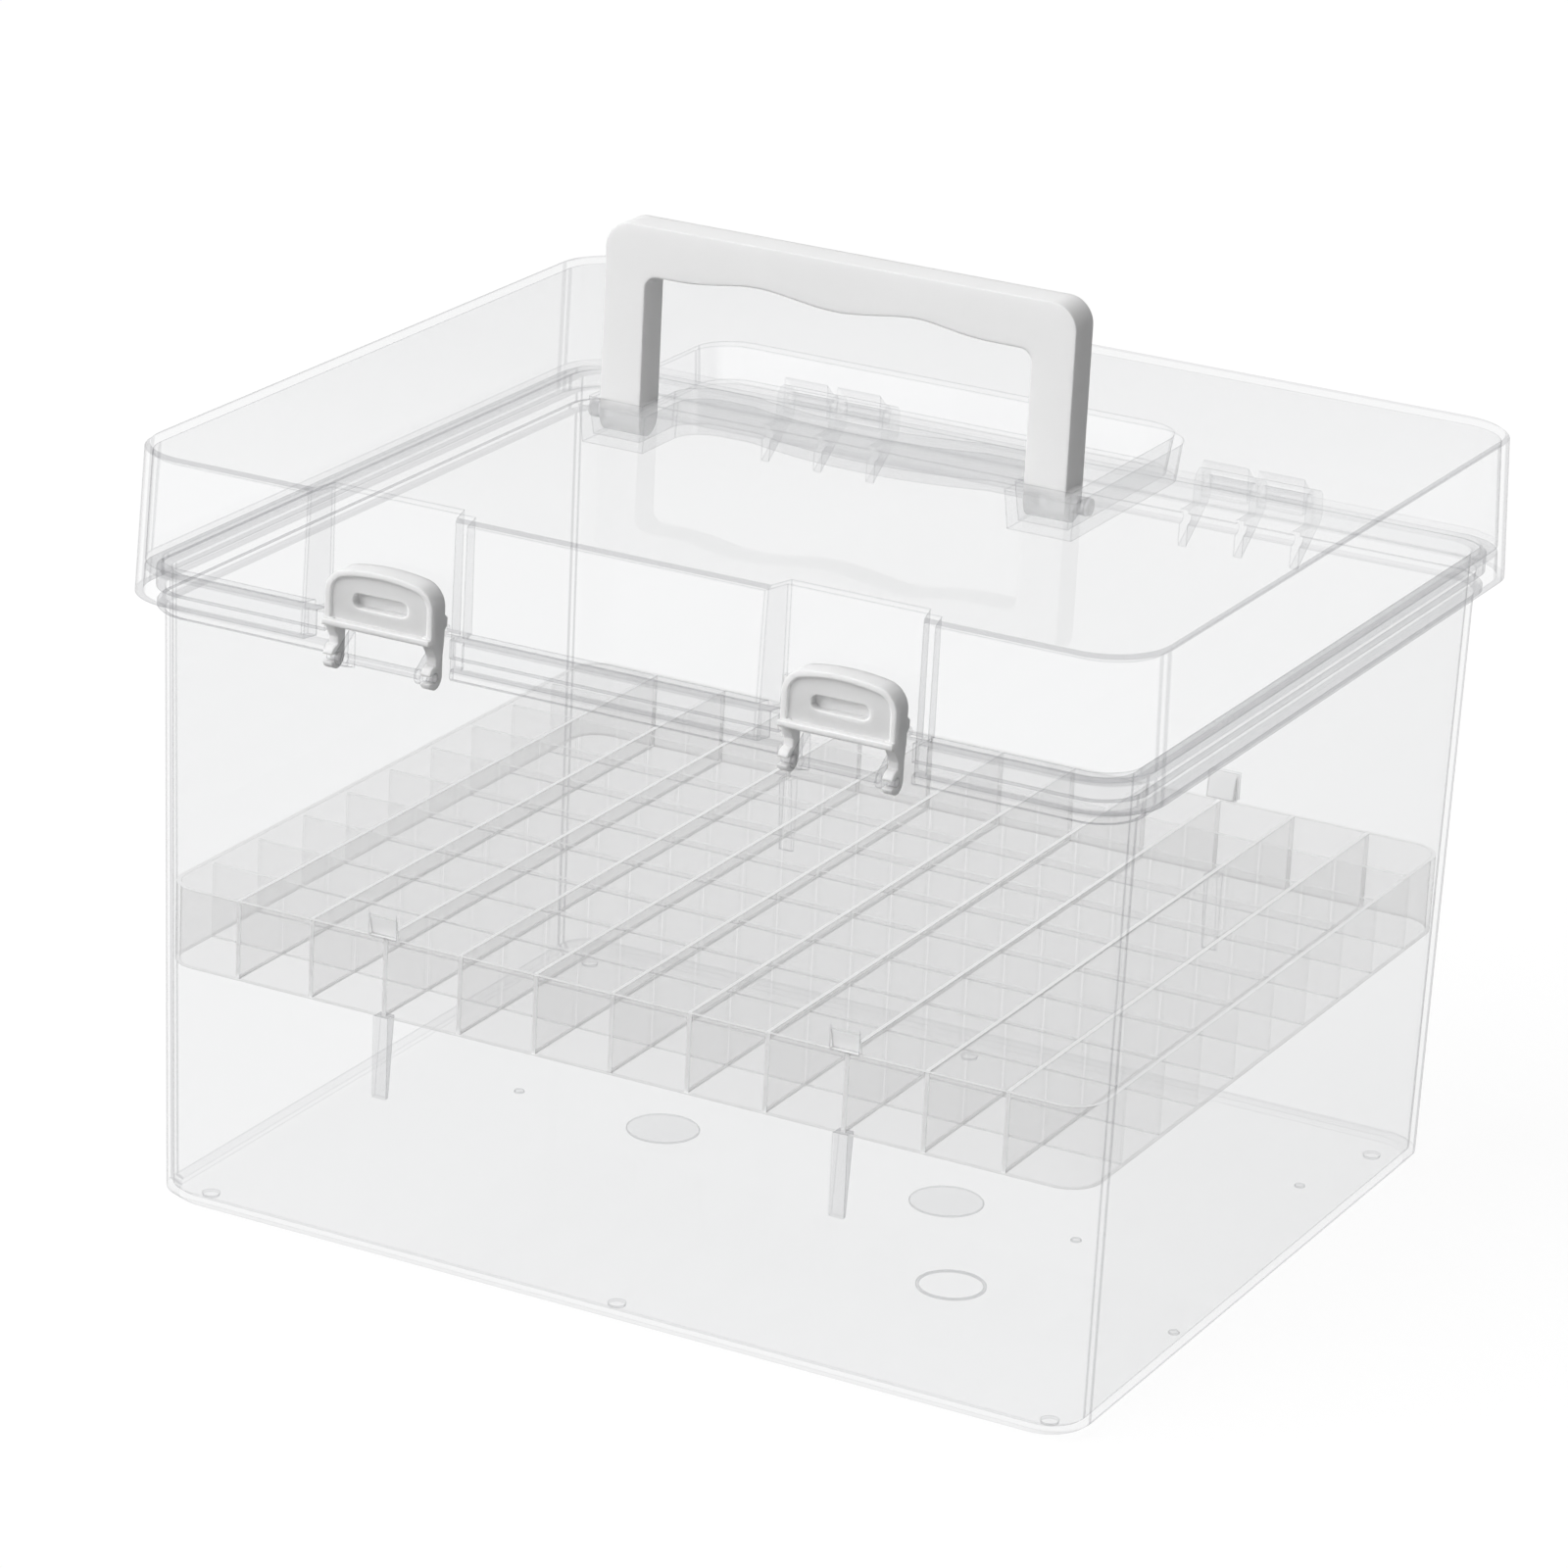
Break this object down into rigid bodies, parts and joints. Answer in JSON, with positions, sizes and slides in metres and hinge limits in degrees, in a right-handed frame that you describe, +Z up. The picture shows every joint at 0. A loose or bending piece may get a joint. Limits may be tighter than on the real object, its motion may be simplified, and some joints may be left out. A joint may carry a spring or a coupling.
{
  "type": "marker case",
  "caption": "Clear rectangular carrying case with a cell grid for upright markers, a hinged lid, two front snap latches and a folding bail handle.",
  "frame": {"origin": "on the table, under the middle of the case's whole footprint", "axes": "+X to the right along the long side, +Y to the hinges at the back, +Z up; the latches are at -Y"},
  "size_m": [0.25, 0.2172, 0.2215],
  "materials": {
    "clear_body": "clear, glossy",
    "clear_lid": "clear, glossy",
    "clear_grid": "clear, slightly hazy",
    "milky_handle": "milky, satin",
    "milky_latch": "milky, satin"
  },
  "bodies": {
    "case": {"body": "clear_body", "grid_frame": "clear_grid", "grid_long_walls": "clear_grid", "grid_cross_walls": "clear_grid"},
    "lid": {"lid": "clear_lid"},
    "handle": {"handle": "milky_handle"},
    "latch_left": {"latch_left": "milky_latch"},
    "latch_right": {"latch_right": "milky_latch"}
  },
  "joints": [
    {"name": "lid_hinge", "type": "hinge", "parent": "case", "child": "lid", "pos_m": [0, 0.10574, 0.1505], "axis": [-1, 0, 0], "range_deg": [0, 110]},
    {"name": "handle_fold", "type": "hinge", "parent": "lid", "child": "handle", "pos_m": [0, -0.0039, 0.17565], "axis": [-1, 0, 0], "range_deg": [0, 90]},
    {"name": "latch_left_swing", "type": "hinge", "parent": "case", "child": "latch_left", "pos_m": [-0.056, -0.10524, 0.1428], "axis": [1, 0, 0], "range_deg": [0, 160]},
    {"name": "latch_right_swing", "type": "hinge", "parent": "case", "child": "latch_right", "pos_m": [0.056, -0.10524, 0.1428], "axis": [1, 0, 0], "range_deg": [0, 160]}
  ]
}
